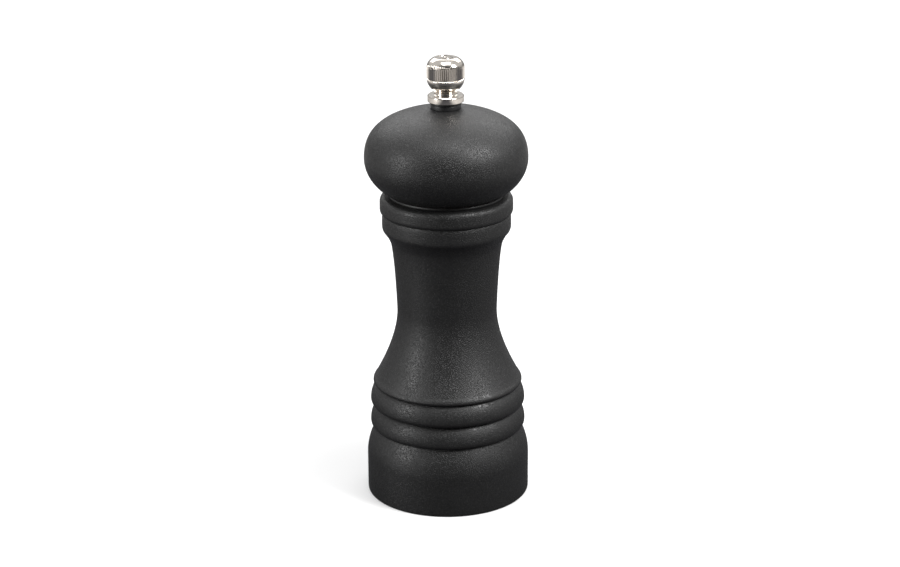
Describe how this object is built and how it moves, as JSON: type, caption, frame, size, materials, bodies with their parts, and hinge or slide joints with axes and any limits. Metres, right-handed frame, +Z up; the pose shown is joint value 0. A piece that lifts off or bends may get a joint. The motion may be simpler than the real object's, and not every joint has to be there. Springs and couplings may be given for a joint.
{
  "type": "pepper mill",
  "caption": "Black lacquered turned-wood pepper mill with a round head that turns, a burr grinder in the base and a fluted metal knob that sets the grind.",
  "frame": {"origin": "middle of the flat base, on the turning axis", "axes": "+Z up along the turning axis; the crossbar under the base lies along X; -Y is the side that faces the picture's camera"},
  "size_m": [0.06, 0.06, 0.1649],
  "materials": {
    "black_lacquer": "turned beech under a matte black lacquer with a fine speckle",
    "black_nylon": "plain moulded black nylon",
    "white_nylon": "natural nylon",
    "plate_steel": "stamped steel, zinc plated",
    "burr_steel": "case-hardened burr steel, dark grey",
    "shaft_steel": "drawn square bar, satin",
    "spring_steel": "bright spring wire",
    "screw_steel": "zinc-plated steel",
    "nickel": "polished nickel plate"
  },
  "bodies": {
    "casing": {"mill_body": "black_lacquer", "neck_ring": "black_nylon", "guide_bridge": "plate_steel", "bridge_bush": "white_nylon", "stator": "burr_steel", "crossbar": "plate_steel", "crossbar_bush": "white_nylon", "crossbar_screws": "screw_steel"},
    "spring_pack": {"spring_washer": "plate_steel", "spring": "spring_steel"},
    "spindle": {"shaft": "shaft_steel", "rotor": "burr_steel", "rotor_washer": "plate_steel", "rotor_clip": "spring_steel"},
    "turning_head": {"head": "black_lacquer", "drive_plate": "plate_steel", "drive_plate_screws": "screw_steel", "head_bush": "black_nylon"},
    "knob_seat": {"knob_washer": "black_nylon"},
    "grind_knob": {"knob": "nickel"}
  },
  "joints": [
    {"name": "mill_turn", "type": "hinge", "parent": "casing", "child": "spring_pack", "pos_m": [0, 0, 0.0372], "axis": [0, 0, 1], "continuous": true},
    {"name": "grind_adjust", "type": "slide", "parent": "spring_pack", "child": "spindle", "axis": [0, 0, 1], "range_m": [0, 0.0016], "deforming": ["spring"]},
    {"name": "head_lift", "type": "slide", "parent": "spring_pack", "child": "turning_head", "axis": [0, 0, 1], "range_m": [0, 0.075]},
    {"name": "knob_lift", "type": "slide", "parent": "turning_head", "child": "knob_seat", "axis": [0, 0, 1], "range_m": [0, 0.03]},
    {"name": "knob_turn", "type": "hinge", "parent": "knob_seat", "child": "grind_knob", "pos_m": [0, 0, 0.149], "axis": [0, 0, 1], "range_deg": [-720, 0]}
  ],
  "couplings": [
    {"joint": "grind_adjust", "follows": "knob_turn", "m_per_rad": -0.00012732}
  ]
}
